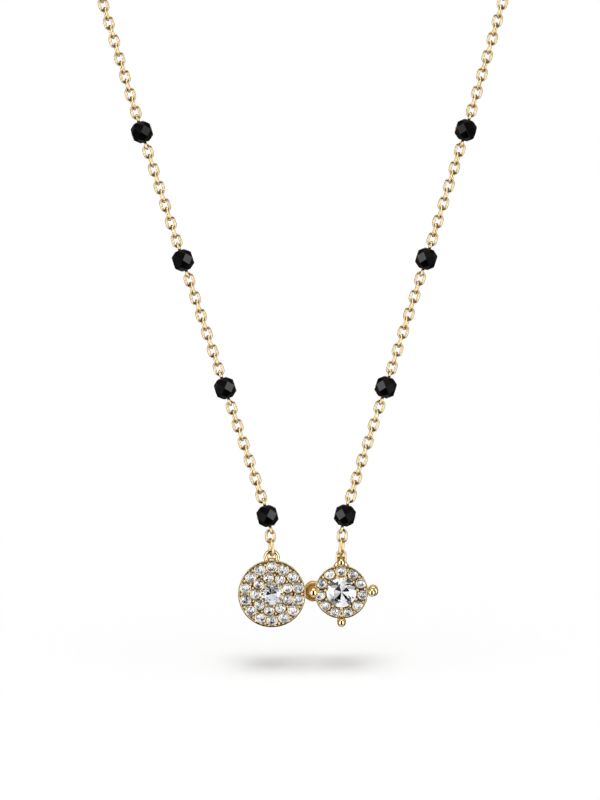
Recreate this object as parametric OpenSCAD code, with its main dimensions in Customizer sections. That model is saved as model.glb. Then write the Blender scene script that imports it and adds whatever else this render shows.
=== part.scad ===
// A mangalsutra: a fine gold cable chain with eight black faceted beads and a double jewelled pendant.
// Millimetres. +X is to the viewer's right, the front faces -Y, +Z is up.
// The origin is at the nape, where the clasp rests against the neck.

/* [Chain] */
// Wire of the chain links
link_wire = 0.27; // [0.24:0.01:0.3]
// Outside width of a chain link
link_width = 1.2; // [1.1:0.05:1.5]
// Distance from one link's centre to the next
link_pitch = 1.06; // [1:0.02:1.2]
// Clearance between two wires that pass through each other
wire_gap = 0.1; // [0.1:0.01:0.14]
// How far the upright links are turned from edge on, in degrees
link_turn = 14; // [0:1:20]
// Links between two beads, an odd number
links_between = 11; // [7:2:13]
// Links above the highest bead on each side
links_above = 54; // [30:2:54]

/* [Beads] */
// Diameter of a black bead
bead_d = 2.5; // [2.2:0.1:3]
// Length of a bead along its hole
bead_len = 2.1; // [1.9:0.1:2.2]
// Hole through a bead
bead_bore = 0.5; // [0.45:0.05:0.7]
// Wire of a bead's pin
pin_wire = 0.26; // [0.2:0.01:0.28]
// Clearance round the link that hangs in a pin's eye
eye_gap = 0.12; // [0.11:0.01:0.2]
// Clearance between a bead and the eyes at its ends
bead_gap = 0.07; // [0.05:0.01:0.15]

/* [End rings] */
// Wire of the two rings that hold the pendant
ring_wire = 0.3; // [0.25:0.01:0.32]
// Outside width of an end ring
ring_width = 1.25; // [1.2:0.05:1.5]
// Outside length of an end ring
ring_len = 2.15; // [2:0.05:2.6]
// How far an end ring is turned from edge on, in degrees
ring_turn = 20; // [0:1:24]

/* [Clasp] */
// Diameter of the clasp's barrel
clasp_d = 2.4; // [2:0.1:4]
// Length of the clasp's barrel
clasp_len = 7; // [5:0.5:10]
// Wire of the eye at each end of the clasp
clasp_eye_wire = 0.35; // [0.3:0.05:0.5]
// Inside diameter of those eyes
clasp_eye_d = 0.7; // [0.6:0.05:1]

/* [Left disc] */
// Radius of the disc
left_r = 3.85; // [3.6:0.05:4]
// Depth of the disc from its back to its rim
left_depth = 1.8; // [1.6:0.1:2.2]
// Height of the swing axis above the disc's edge
bail_reach = 0.95; // [0.9:0.05:1.1]
// Diameter of the centre stone
left_centre_d = 2.4; // [2:0.1:2.4]
// Number of outer stones
left_outer_count = 14; // [10:1:14]
// Diameter of an outer stone
left_outer_d = 1.04; // [0.9:0.02:1.06]
// Radius of the circle through the outer stones
left_outer_ring = 3.07; // [3:0.01:3.1]
// Number of inner stones
left_inner_count = 9; // [7:1:9]
// Diameter of an inner stone
left_inner_d = 0.93; // [0.8:0.01:0.95]
// Radius of the circle through the inner stones
left_inner_ring = 1.91; // [1.88:0.01:1.93]
// Wire of the bail
bail_wire = 0.44; // [0.36:0.02:0.44]
// Radius of the bail's curve at the middle of its wire
bail_r = 0.7; // [0.68:0.01:0.8]

/* [Right cluster] */
// Radius of the halo
right_r = 3.05; // [3:0.01:3.2]
// Depth of the halo from its back to its rim
right_depth = 1.65; // [1.5:0.05:2]
// Height of the swing axis above the halo's edge
loop_reach = 1.61; // [1.5:0.01:1.8]
// Diameter of the centre stone
right_centre_d = 3.4; // [3:0.1:3.4]
// Number of halo stones
halo_count = 11; // [8:1:11]
// Diameter of a halo stone
halo_d = 0.94; // [0.8:0.02:0.96]
// Radius of the circle through the halo stones
halo_ring = 2.45; // [2.42:0.01:2.47]
// How far the posts stand out from the halo's edge
post_reach = 0.42; // [0.3:0.02:0.5]
// Radius of the east post
east_post_r = 0.6; // [0.55:0.01:0.66]
// Radius of the south post
south_post_r = 0.5; // [0.47:0.01:0.55]
// Radius of the north post
north_post_r = 0.42; // [0.36:0.01:0.42]
// Radius of the gold ball on each post
ball_r = 0.49; // [0.44:0.01:0.52]
// Wire of the loop above the halo
loop_wire = 0.28; // [0.24:0.01:0.3]
// Outside width of that loop
loop_width = 1.2; // [1.18:0.02:1.4]

/* [Joining boss] */
// Radius of the round boss between the two discs
boss_r = 1.12; // [1:0.02:1.2]
// How far the boss runs into the left disc
boss_bite = 0.25; // [0.15:0.05:0.5]
// Depth of the dish in the boss
boss_dish = 0.3; // [0.1:0.05:0.4]

/* [Stones and grains] */
// Clearance between a stone's edge and its seat
stone_gap = 0.03; // [0.02:0.01:0.05]
// Hole behind each small stone
small_hole_d = 0.4; // [0.3:0.05:0.5]
// Hole behind each centre stone
centre_hole_d = 1; // [0.6:0.1:1.2]
// Radius of a gold grain between small stones
grain_r = 0.13; // [0.1:0.01:0.14]
// Height of the step from the rim down to the stones
rim_step = 0.1; // [0.05:0.01:0.15]
// Width of the polished rim
rim_width = 0.17; // [0.12:0.01:0.18]
// Height of the left disc's inner ring of stones above its outer ring
terrace_rise = 0.16; // [0.1:0.02:0.3]
// Height of the collar round a centre stone
collar_rise = 0.16; // [0.1:0.02:0.3]
// Wall of that collar
seat_wall = 0.12; // [0.1:0.01:0.13]

/* [Hidden] */
$fn = 48;

// The right half of the chain's way, from the swing axis of the pendant up and round to the nape
chain_route = [
    [3.95, -105, -161],
    [4.35, -104.7, -157.2],
    [5.1, -104.1, -154.8],
    [8.4, -102.2, -144.9],
    [14.3, -99, -126.9],
    [18.9, -96.4, -112.4],
    [22.6, -94.3, -100],
    [30.6, -89.4, -73.5],
    [38.6, -83.2, -47.5],
    [45.2, -70.5, -25],
    [47.5, -52, -14.5],
    [43.6, -32, -8.8],
    [33.6, -13.6, -4.4],
    [18, -2.4, -1.2],
    [0, 1.2, 0],
];
route_steps = 20;
hang = chain_route[0];

gold = [0.83, 0.62, 0.3];
onyx = [0.05, 0.05, 0.06];
diamond = [0.9, 0.93, 0.96];
left = -1;
right = 1;
beads_a_side = 4;
front = [0, -1, 0];

function unit(v) = v / norm(v);
function chord(i) = norm(chain_route[i + 1] - chain_route[i]);
route_last = len(chain_route) - 1;

// Direction of the route at one of its points, weighted by the nearer neighbour
function heading(i) =
    i == 0 ? (chain_route[1] - chain_route[0]) / chord(0)
    : i == route_last ? [-1, 0, 0]
    : ((chain_route[i] - chain_route[i - 1]) / chord(i - 1) * chord(i)
        + (chain_route[i + 1] - chain_route[i]) / chord(i) * chord(i - 1)) / (chord(i - 1) + chord(i));

// Cubic curve from route point i to the next one, t from 0 to 1
function curve(i, t) =
    (2 * pow(t, 3) - 3 * pow(t, 2) + 1) * chain_route[i]
    + (pow(t, 3) - 2 * pow(t, 2) + t) * chord(i) * heading(i)
    + (3 * pow(t, 2) - 2 * pow(t, 3)) * chain_route[i + 1]
    + (pow(t, 3) - pow(t, 2)) * chord(i) * heading(i + 1);

way = [for (i = [0 : route_last - 1]) for (k = [0 : route_steps - 1]) curve(i, k / route_steps),
    chain_route[route_last]];
way_at = [for (i = 0, run = 0; i < len(way); run = run + (i < len(way) - 1 ? norm(way[i + 1] - way[i]) : 0),
    i = i + 1) run];
way_x = [for (i = [0 : len(way) - 1]) [way_at[i], way[i].x]];
way_y = [for (i = [0 : len(way) - 1]) [way_at[i], way[i].y]];
way_z = [for (i = [0 : len(way) - 1]) [way_at[i], way[i].z]];
way_length = way_at[len(way) - 1];
sight = 0.3;

// Place and direction at a distance s along the route
function place(s) = [lookup(s, way_x), lookup(s, way_y), lookup(s, way_z)];
function direction(s) = s < sight ? heading(0) : unit(place(s + sight) - place(s - sight));

// Sizes along the chain, measured from the swing axis
link_len = link_pitch + 2 * link_wire + wire_gap;
eye_r = (link_wire + pin_wire) / 2 + eye_gap;
eye_s = bead_len / 2 + bead_gap + pin_wire / 2 + eye_r;
bead_reach = eye_s + (link_len - link_wire) / 2;
bead_step = 2 * bead_reach + (links_between - 1) * link_pitch;
ring_line = ring_len - ring_wire;
ring_low = (bail_wire + ring_wire) / 2 + wire_gap;
first_link_s = ring_line - ring_low - (ring_wire + link_wire) / 2 - wire_gap + (link_len - link_wire) / 2;
lowest_bead_s = first_link_s + bead_reach;
top_link_s = bead_s(1) + bead_reach;
links_end_s = top_link_s + (links_above - 1) * link_pitch + link_len / 2;
clasp_reach = clasp_len / 2 + clasp_eye_d + clasp_eye_wire;

// Bead 1 is the highest of its side and bead 4 the lowest
function bead_s(i) = lowest_bead_s + (beads_a_side - i) * bead_step;

// Children drawn on the right half, or mirrored to the left half
module on_side(side) {
    if (side == left) mirror([1, 0, 0]) children();
    else children();
}

// Children with their Y axis laid along the chain at distance s, turned about it
module on_chain(s, turn = 0) {
    at = place(s);
    up = direction(s);
    out = unit(front - (front * up) * up);
    across = cross(up, out);
    multmatrix([
        [across.x, up.x, out.x, at.x],
        [across.y, up.y, out.y, at.y],
        [across.z, up.z, out.z, at.z],
        [0, 0, 0, 1],
    ]) rotate([0, turn, 0]) children();
}

// An oval ring of round wire in the XY plane, longest along Y
module oval(length, width, wire) {
    bend = (width - wire) / 2;
    run = length - width;
    for (end = [0, 1]) mirror([0, end, 0]) translate([0, run / 2, 0])
        rotate_extrude(angle = 180) translate([bend, 0]) circle(d = wire, $fn = 24);
    for (x = [-bend, bend]) translate([x, 0, 0]) rotate([90, 0, 0])
        cylinder(h = run, d = wire, center = true, $fn = 24);
}

module chain_link() {
    oval(link_len, link_width, link_wire);
}

// Solid through a stack of rings of points. A turned ring starts half a step on from an unturned one.
module stack(rings, turned) {
    n = len(rings[0]);
    last = len(rings) - 1;
    points = [for (ring = rings) each ring];
    walls = [for (j = [0 : last - 1]) for (i = [0 : n - 1]) let (
        k = (i + 1) % n, a = j * n + i, b = j * n + k, c = (j + 1) * n + i, d = (j + 1) * n + k,
        leaning = turned[j] < turned[j + 1]
    ) each (leaning ? [[a, c, b], [c, d, b]] : [[a, d, b], [a, c, d]])];
    floor_face = [for (i = [0 : n - 1]) i];
    top_face = [for (i = [n - 1 : -1 : 0]) last * n + i];
    polyhedron(points, concat(walls, [floor_face, top_face]), convexity = 4);
}

// Ring of n points of radius r at height z, turned on by a share of a step
function ring_of(n, r, z, share) =
    [for (i = [0 : n - 1]) let (a = (i + share) * 360 / n) [r * cos(a), r * sin(a), z]];

// Cut stone with its girdle at z = 0 and its table towards +Z
stone_girdle = 0.02;
stone_crown = 0.15;
stone_pavilion = 0.43;
stone_table = 0.57;
stone_culet = 0.04;
module brilliant(d, sides) {
    stack([
        ring_of(sides, stone_culet * d / 2, -(stone_girdle + stone_pavilion) * d, 0),
        ring_of(sides, d / 2, -stone_girdle * d, 0),
        ring_of(sides, d / 2, stone_girdle * d, 0),
        ring_of(sides, stone_table * d / 2, (stone_girdle + stone_crown) * d, 0.5),
    ], [0, 0, 0, 0.5]);
}

// Tool that opens a seat for a brilliant whose girdle is at z = 0, with a hole through to the back
module seat(d, hole_d, back) {
    r = d / 2 + stone_gap;
    hole_r = hole_d / 2;
    shoulder = -2 * stone_girdle * d;
    slope = (stone_girdle + stone_pavilion) * d / (d / 2);
    rotate_extrude($fn = 48) polygon([
        [0, -back], [hole_r, -back], [hole_r, shoulder - (r - hole_r) * slope], [r, shoulder], [r, d], [0, d],
    ]);
}

// Children at each place of a ring of count places, the first at the top
module around(count, radius, share = 0) {
    for (i = [0 : count - 1]) rotate([0, 0, (i + share) * 360 / count]) translate([0, radius, 0])
        rotate([0, 0, 180]) children();
}

// Children in the pendant's own frame: X right, Y up, Z out to the front, origin on the swing axis
left_drop = left_r + bail_reach;
right_drop = right_r + loop_reach;
module hung() {
    translate([0, hang.y, hang.z]) rotate([90, 0, 0]) children();
}
module left_place() {
    translate([-hang.x, -left_drop, 0]) children();
}
module right_place() {
    translate([hang.x, -right_drop, 0]) children();
}

// Levels of the two discs, with the swing axis at 0 and the front positive. A little more than half of
// each disc lies in front of the axis, so that the pendant hangs upright.
front_share = 0.51;
left_rim = front_share * left_depth;
left_back = left_rim - left_depth;
left_floor = left_rim - rim_step;
left_terrace = left_floor + terrace_rise;
left_collar = left_terrace + collar_rise;
terrace_r = left_inner_ring + left_inner_d / 2 + stone_gap + seat_wall / 2;
left_collar_r = left_centre_d / 2 + stone_gap + seat_wall;
right_rim = front_share * right_depth;
right_back = right_rim - right_depth;
right_floor = right_rim - rim_step;
right_collar = right_floor + collar_rise;
right_collar_r = right_centre_d / 2 + stone_gap + seat_wall;
girdle_sink = 0.04;
edge_round = 0.12;
draft = 0.03;

// Body of a disc: round back edge, side wall, polished rim, floor for the stones and the raised middle
module disc_body(r, back, rim, floor_z, steps) {
    rotate_extrude($fn = 96) polygon(concat([
        [0, back], [r - 2 * edge_round, back], [r, back + 2 * edge_round], [r, rim - edge_round / 2],
        [r - edge_round / 2, rim], [r - rim_width, rim], [r - rim_width - rim_step / 2, floor_z],
    ], steps));
}

module left_disc() {
    disc_body(left_r, left_back, left_rim, left_floor, [
        [terrace_r + draft, left_floor], [terrace_r, left_terrace], [left_collar_r + draft, left_terrace],
        [left_collar_r, left_collar], [0, left_collar],
    ]);
}

module right_disc() {
    disc_body(right_r, right_back, right_rim, right_floor, [
        [right_collar_r + draft, right_floor], [right_collar_r, right_collar], [0, right_collar],
    ]);
}

// Where the first stone of the inner ring stands, as a share of a step past the top
inner_share = 0.275;
left_outer_z = left_floor - girdle_sink;
left_inner_z = left_terrace - girdle_sink;
left_centre_z = left_collar - girdle_sink;
halo_z = right_floor - girdle_sink;
right_centre_z = right_collar - girdle_sink;
seat_back = 2 * left_depth;

module left_seats() {
    around(left_outer_count, left_outer_ring) translate([0, 0, left_outer_z])
        seat(left_outer_d, small_hole_d, seat_back);
    around(left_inner_count, left_inner_ring, inner_share) translate([0, 0, left_inner_z])
        seat(left_inner_d, small_hole_d, seat_back);
    translate([0, 0, left_centre_z]) seat(left_centre_d, centre_hole_d, seat_back);
}

module right_seats() {
    around(halo_count, halo_ring) translate([0, 0, halo_z]) seat(halo_d, small_hole_d, seat_back);
    translate([0, 0, right_centre_z]) seat(right_centre_d, centre_hole_d, seat_back);
}

// Grain of gold that holds the stones beside it
module grain() {
    sphere(r = grain_r, $fn = 24);
}

// Ridge of larger grains between the halo's two lowest stones
ridge_r = 0.17;
ridge_places = [right_centre_d / 2 + stone_gap + seat_wall + 1.6 * ridge_r, right_r - 1.6 * ridge_r];

rim_to_grain = grain_r + 0.09;
terrace_to_grain = grain_r + 0.06;
module left_grains() {
    around(left_outer_count, left_r - rim_width - rim_to_grain, 0.5) translate([0, 0, left_floor]) grain();
    around(left_outer_count, terrace_r + terrace_to_grain, 0.5) translate([0, 0, left_floor]) grain();
}

module right_grains() {
    around(halo_count, right_r - rim_width - rim_to_grain, 0.5) translate([0, 0, right_floor]) grain();
    for (out = ridge_places) translate([0, -out, right_floor]) sphere(r = ridge_r, $fn = 24);
}

// Claw beside a centre stone: a thin post with a round tip
claw_gap = 0.05;
claw_rise = 0.12;
claw_root = 0.2;
claw_share = 0.7;
module claws(count, stone_d, floor_z, collar_z, share) {
    tip = collar_z + claw_rise;
    around(count, stone_d / 2 + claw_gap + grain_r, share) {
        translate([0, 0, floor_z - claw_root])
            cylinder(h = tip - floor_z + claw_root, r = claw_share * grain_r, $fn = 24);
        translate([0, 0, tip]) grain();
    }
}

module bail() {
    translate([-hang.x, -bail_r, 0]) rotate_extrude($fn = 48)
        translate([bail_r, 0]) circle(d = bail_wire, $fn = 24);
}

// Loop above the halo, its top on the swing axis
loop_len = loop_reach + loop_wire;
module hanging_loop() {
    translate([hang.x, (loop_wire - loop_len) / 2, 0]) oval(loop_len, loop_width, loop_wire);
}

// Post that stands behind a gold ball at the edge of the halo
ball_z = right_rim + 0.12;
post_front = ball_z - 0.7 * ball_r;
module post(r, back) {
    translate([0, 0, back]) cylinder(h = post_front - back, r = r, $fn = 32);
    translate([0, 0, ball_z]) sphere(r = ball_r, $fn = 32);
}

post_out = right_r + post_reach;
shoulder_root = [0.42 * right_r, 0.8 * right_r];
shoulder_top = [loop_width / 2, post_out - loop_wire / 3];
module posts() {
    translate([post_out, 0, 0]) post(east_post_r, right_back);
    translate([0, -post_out, 0]) post(south_post_r, right_back);
    translate([0, post_out, 0]) post(north_post_r, -north_post_r);
    translate([0, 0, -north_post_r]) linear_extrude(2 * north_post_r) polygon([
        [-shoulder_root.x, shoulder_root.y], shoulder_root, shoulder_top, [-shoulder_top.x, shoulder_top.y],
    ]);
}

// Round dished boss that joins the two discs, with the west ball in its dish
boss_x = left_r - hang.x + boss_r - boss_bite;
boss_back = right_back + edge_round;
boss_front = right_floor - 2 * edge_round;
boss_lip = 0.15;
boss_slope = 0.25;
west_post_r = 0.6 * ball_r;
module joining_boss() {
    translate([boss_x, -right_drop, 0]) {
        rotate_extrude($fn = 64) polygon([
            [0, boss_back], [boss_r, boss_back], [boss_r, boss_front - edge_round],
            [boss_r - edge_round, boss_front], [boss_r - edge_round - boss_lip, boss_front],
            [boss_r - edge_round - boss_lip - boss_slope, boss_front - boss_dish], [0, boss_front - boss_dish],
        ]);
        post(west_post_r, boss_back);
    }
}

module pendant_setting() color(gold) hung() {
    difference() {
        union() {
            left_place() left_disc();
            right_place() right_disc();
            bail();
            hanging_loop();
            right_place() posts();
            joining_boss();
        }
        left_place() left_seats();
        right_place() right_seats();
    }
    left_place() {
        left_grains();
        claws(left_inner_count, left_centre_d, left_terrace, left_collar, inner_share + 0.5);
    }
    right_place() {
        right_grains();
        claws(halo_count, right_centre_d, right_floor, right_collar, 0.5);
    }
}

small_sides = 12;
large_sides = 16;
module left_centre_stone() color(diamond) hung() left_place()
    translate([0, 0, left_centre_z]) brilliant(left_centre_d, large_sides);
module right_centre_stone() color(diamond) hung() right_place()
    translate([0, 0, right_centre_z]) brilliant(right_centre_d, large_sides);
module left_outer_stones() color(diamond) hung() left_place()
    around(left_outer_count, left_outer_ring) translate([0, 0, left_outer_z])
        brilliant(left_outer_d, small_sides);
module left_inner_stones() color(diamond) hung() left_place()
    around(left_inner_count, left_inner_ring, inner_share) translate([0, 0, left_inner_z])
        brilliant(left_inner_d, small_sides);
module right_halo_stones() color(diamond) hung() right_place()
    around(halo_count, halo_ring) translate([0, 0, halo_z]) brilliant(halo_d, small_sides);

// The visible chain of one side and some of its hidden stretch, link by link
module chain_front(side) color(gold) on_side(side) {
    on_chain(first_link_s) chain_link();
    for (b = [2 : beads_a_side], i = [0 : links_between - 1])
        on_chain(bead_s(b) + bead_reach + i * link_pitch, (90 - link_turn) * (i % 2)) chain_link();
    for (i = [0 : links_above - 1])
        on_chain(top_link_s + i * link_pitch, (90 - link_turn) * (i % 2)) chain_link();
}

// The hidden chain as one plain tube of the links' width
tube_d = link_width;
tube_sides = 8;
tube_start_s = links_end_s + wire_gap;
tube_end_s = way_length - clasp_reach - wire_gap;
tube_step = 3 * tube_d;
tube_rings = ceil((tube_end_s - tube_start_s) / tube_step);
tube_side = unit([0, -1, 1]);
function tube_ring(s) = let (
    at = place(s),
    along = direction(s),
    u = unit(tube_side - (tube_side * along) * along),
    v = cross(along, u)
) [for (i = [0 : tube_sides - 1]) let (a = i * 360 / tube_sides) at + tube_d / 2 * (cos(a) * u + sin(a) * v)];
module chain_back(side) color(gold) on_side(side)
    stack([for (i = [0 : tube_rings]) tube_ring(tube_start_s + i * (tube_end_s - tube_start_s) / tube_rings)],
        [for (i = [0 : tube_rings]) 0]);

module end_ring(side) color(gold) on_side(side) on_chain(0, 90 - ring_turn)
    translate([0, ring_line / 2 - ring_low, 0]) oval(ring_len, ring_width, ring_wire);

// Faceted bead along Y, drilled for its pin
bead_sides = 10;
bead_rows = [-1, -0.5, 0, 0.5, 1];
bead_turns = [0, 0.5, 0, 0.5, 0];
function bead_ring(share, turned) = let (z = share * bead_len / 2)
    ring_of(bead_sides, sqrt(pow(bead_d / 2, 2) - pow(z, 2)), z, turned);
module bead(side, i) color(onyx) on_side(side) on_chain(bead_s(i)) rotate([-90, 0, 0]) difference() {
    stack([for (j = [0 : len(bead_rows) - 1]) bead_ring(bead_rows[j], bead_turns[j])], bead_turns);
    cylinder(h = 2 * bead_len, d = bead_bore, center = true, $fn = 24);
}

// Wire through a bead with an eye at each end, seen edge on from the front
module pin(side, i) color(gold) on_side(side) on_chain(bead_s(i)) {
    rotate([90, 0, 0]) cylinder(h = 2 * (eye_s - eye_r), d = pin_wire, center = true, $fn = 24);
    for (y = [-eye_s, eye_s]) translate([0, y, 0]) rotate([0, 90, 0])
        rotate_extrude($fn = 32) translate([eye_r, 0]) circle(d = pin_wire, $fn = 24);
}

// Plain barrel at the nape with an eye at each end
clasp_neck = 0.5;
clasp_eye_r = (clasp_eye_d + clasp_eye_wire) / 2;
module clasp() color(gold) translate(chain_route[route_last]) rotate([0, 90, 0]) {
    half = clasp_len / 2;
    cone = clasp_d / 3;
    rotate_extrude($fn = 48) polygon([
        [0, -half], [clasp_neck, -half], [clasp_d / 2, cone - half],
        [clasp_d / 2, half - cone], [clasp_neck, half], [0, half],
    ]);
    for (end = [-1, 1]) translate([0, 0, end * (half + clasp_eye_r)]) rotate([90, 0, 0])
        rotate_extrude($fn = 32) translate([clasp_eye_r, 0]) circle(d = clasp_eye_wire, $fn = 24);
}

chain_front(left);  // chain_front_left
chain_front(right);  // chain_front_right
chain_back(left);  // chain_back_left
chain_back(right);  // chain_back_right
clasp();
end_ring(left);  // end_ring_left
end_ring(right);  // end_ring_right
bead(left, 1);  // bead_left_1
bead(left, 2);  // bead_left_2
bead(left, 3);  // bead_left_3
bead(left, 4);  // bead_left_4
bead(right, 1);  // bead_right_1
bead(right, 2);  // bead_right_2
bead(right, 3);  // bead_right_3
bead(right, 4);  // bead_right_4
pin(left, 1);  // pin_left_1
pin(left, 2);  // pin_left_2
pin(left, 3);  // pin_left_3
pin(left, 4);  // pin_left_4
pin(right, 1);  // pin_right_1
pin(right, 2);  // pin_right_2
pin(right, 3);  // pin_right_3
pin(right, 4);  // pin_right_4
pendant_setting();
left_centre_stone();
right_centre_stone();
left_outer_stones();
left_inner_stones();
right_halo_stones();
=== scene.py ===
"""A mangalsutra: fine gold cable chain, black faceted beads and a double pendant set with clear stones.

Sizes are in millimetres in the part's own frame, and become metres as each mesh is made. +X is to the
viewer's right, the front faces -Y and +Z is up. The origin is at the nape.
"""

import math

import bmesh
import bpy
import numpy as np
from mathutils import Matrix, Vector


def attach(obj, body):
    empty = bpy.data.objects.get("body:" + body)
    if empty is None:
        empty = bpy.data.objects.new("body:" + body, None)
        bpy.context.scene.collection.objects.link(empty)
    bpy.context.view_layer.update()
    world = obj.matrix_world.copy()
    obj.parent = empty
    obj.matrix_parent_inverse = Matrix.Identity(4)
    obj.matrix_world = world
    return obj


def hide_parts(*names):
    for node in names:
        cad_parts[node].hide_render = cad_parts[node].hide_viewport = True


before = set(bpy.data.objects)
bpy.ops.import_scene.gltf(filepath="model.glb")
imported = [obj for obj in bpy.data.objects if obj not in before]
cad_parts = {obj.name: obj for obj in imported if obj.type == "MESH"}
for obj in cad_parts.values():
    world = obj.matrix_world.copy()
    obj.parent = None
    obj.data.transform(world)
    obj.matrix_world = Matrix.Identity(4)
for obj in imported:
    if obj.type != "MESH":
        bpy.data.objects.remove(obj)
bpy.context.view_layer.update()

MM = 0.001
rng = np.random.default_rng(11)

# Chain. A name that starts with FULL is a size of the real piece, where the part's source is slimmer
ROUTE = np.array([
    [3.95, -105, -161], [4.35, -104.7, -157.2], [5.1, -104.1, -154.8], [8.4, -102.2, -144.9],
    [14.3, -99, -126.9], [18.9, -96.4, -112.4], [22.6, -94.3, -100], [30.6, -89.4, -73.5],
    [38.6, -83.2, -47.5], [45.2, -70.5, -25], [47.5, -52, -14.5], [43.6, -32, -8.8],
    [33.6, -13.6, -4.4], [18, -2.4, -1.2], [0, 1.2, 0],
])
ROUTE_STEPS = 20
SIGHT = 0.3
HANG = ROUTE[0]
LINK_WIRE, LINK_WIDTH, LINK_PITCH, WIRE_GAP = 0.27, 1.2, 1.06, 0.1
LINK_LEN = LINK_PITCH + 2 * LINK_WIRE + WIRE_GAP
FULL_LINK_WIRE, FULL_RING_WIRE, FULL_PIN_WIRE = 0.32, 0.34, 0.33
# The third to fifth numbers paint shade inside the links' ends where the next link crosses: its strength,
# then its reach along a link and inwards.
LINK_TURN, LINK_SWAY, CROSSING_SHADE, CROSSING_SHADE_ALONG, CROSSING_SHADE_INSIDE = 76, 2.5, 0.75, (0.25, 0.5), (-0.1, 0.05)
LINKS_BETWEEN, LINKS_ABOVE, BEADS_A_SIDE = 11, 54, 4

# Beads, end rings and clasp
BEAD_LEN, BEAD_BORE, BEAD_SIDES, BORE_DEPTH = 2.1, 0.5, 6, 0.3
FULL_BEAD_D, FULL_BEAD_LEN, TIP_HEIGHT, TOP_HEIGHT = 2.64, 2.4, 0.51, 0.78
BEAD_TURN, BEAD_SWAY, BEAD_EDGE, EDGE_ANGLE = 30, 1.5, 0.014, 8
MIDDLE_POLISH, END_POLISH = (0.02, 0.12), (0.03, 0.35)
# Placed highlight on each bead: the facet, and the strength of its coat in the lower beads and in the top
# bead.
BRIGHT_FACET, BEAD_BRIGHT, TOP_BEAD_BRIGHT = 3, 0.75, 0.3
PIN_WIRE, EYE_GAP, BEAD_GAP, EYE_SINK, EYE_SHARE = 0.26, 0.12, 0.07, 0.14, 0.92
EYE_R = (LINK_WIRE + PIN_WIRE) / 2 + EYE_GAP
EYE_S = BEAD_LEN / 2 + BEAD_GAP + PIN_WIRE / 2 + EYE_R
BEAD_REACH = EYE_S + (LINK_LEN - LINK_WIRE) / 2
BEAD_STEP = 2 * BEAD_REACH + (LINKS_BETWEEN - 1) * LINK_PITCH
RING_WIRE, RING_WIDTH, RING_LEN = 0.3, 1.25, 2.15
RING_TURN = {"left": 68, "right": 70}
CLASP_D, CLASP_LEN, CLASP_NECK, CLASP_EYE_WIRE, CLASP_EYE_D = 2.4, 7, 0.5, 0.35, 0.7
CLASP_EYE_R = (CLASP_EYE_D + CLASP_EYE_WIRE) / 2

# Pendant, in its own frame: X right, Y up, Z out to the front, the swing axis at 0
LEFT_R, LEFT_DEPTH, BAIL_REACH, BAIL_WIRE, BAIL_R = 3.85, 1.8, 0.95, 0.44, 0.7
RIGHT_R, RIGHT_DEPTH, LOOP_REACH, LOOP_WIRE, LOOP_WIDTH = 3.05, 1.65, 1.61, 0.28, 1.2
FRONT_SHARE, RIM_WIDTH, RIM_STEP, TERRACE_RISE, COLLAR_RISE = 0.51, 0.17, 0.1, 0.16, 0.16
STONE_GAP, SEAT_WALL, GIRDLE_SINK, EDGE_ROUND = 0.03, 0.12, 0.04, 0.12
SMALL_HOLE_R, CENTRE_HOLE_R, SIDE_DRAFT = 0.2, 0.5, 0.17
LEFT_CENTRE_D, LEFT_OUTER_D, LEFT_INNER_D, RIGHT_CENTRE_D, HALO_D = 2.4, 1.04, 0.93, 3.4, 0.94
LEFT_OUTER_RING, LEFT_INNER_RING, HALO_RING = 3.07, 1.91, 2.45
LEFT_OUTER_COUNT, LEFT_INNER_COUNT, HALO_COUNT = 14, 9, 11
INNER_SHARE = 0.275
BALL_R, WEST_BALL_R, POST_REACH, EAST_R, SOUTH_R, NORTH_R = 0.49, 0.58, 0.42, 0.6, 0.5, 0.42
BOSS_R, BOSS_BITE, BOSS_DISH, BOSS_SLOPE, BOSS_LOW = 1.12, 0.25, 0.3, 0.42, 0.15
FULL_BAIL_WIRE, SHOULDER_HALF, EAST_LEAN = 0.48, 1.28, 0.13

LEFT_RIM = FRONT_SHARE * LEFT_DEPTH
LEFT_BACK = LEFT_RIM - LEFT_DEPTH
LEFT_FLOOR = LEFT_RIM - RIM_STEP
LEFT_TERRACE = LEFT_FLOOR + TERRACE_RISE
LEFT_COLLAR = LEFT_TERRACE + COLLAR_RISE
TERRACE_R = LEFT_INNER_RING + LEFT_INNER_D / 2 + STONE_GAP + SEAT_WALL / 2
LEFT_COLLAR_R = LEFT_CENTRE_D / 2 + STONE_GAP + SEAT_WALL
RIGHT_RIM = FRONT_SHARE * RIGHT_DEPTH
RIGHT_BACK = RIGHT_RIM - RIGHT_DEPTH
RIGHT_FLOOR = RIGHT_RIM - RIM_STEP
RIGHT_COLLAR = RIGHT_FLOOR + COLLAR_RISE
RIGHT_COLLAR_R = RIGHT_CENTRE_D / 2 + STONE_GAP + SEAT_WALL
BALL_Z = RIGHT_RIM + 0.12
POST_FRONT = BALL_Z - 0.7 * BALL_R
LEFT_AT = np.array([-HANG[0], -(LEFT_R + BAIL_REACH), 0])
RIGHT_AT = np.array([HANG[0], -(RIGHT_R + LOOP_REACH), 0])

# Gold in the foot of the bail and of the loop: half width, height and depth, and its place
BAIL_FOOT, BAIL_FOOT_AT = (0.6, 0.36, 0.5), (-HANG[0], -1.1, 0)
LOOP_FOOT, LOOP_FOOT_AT = (0.5, 0.57, 0.32), (HANG[0], -1.2, -0.28)

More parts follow.
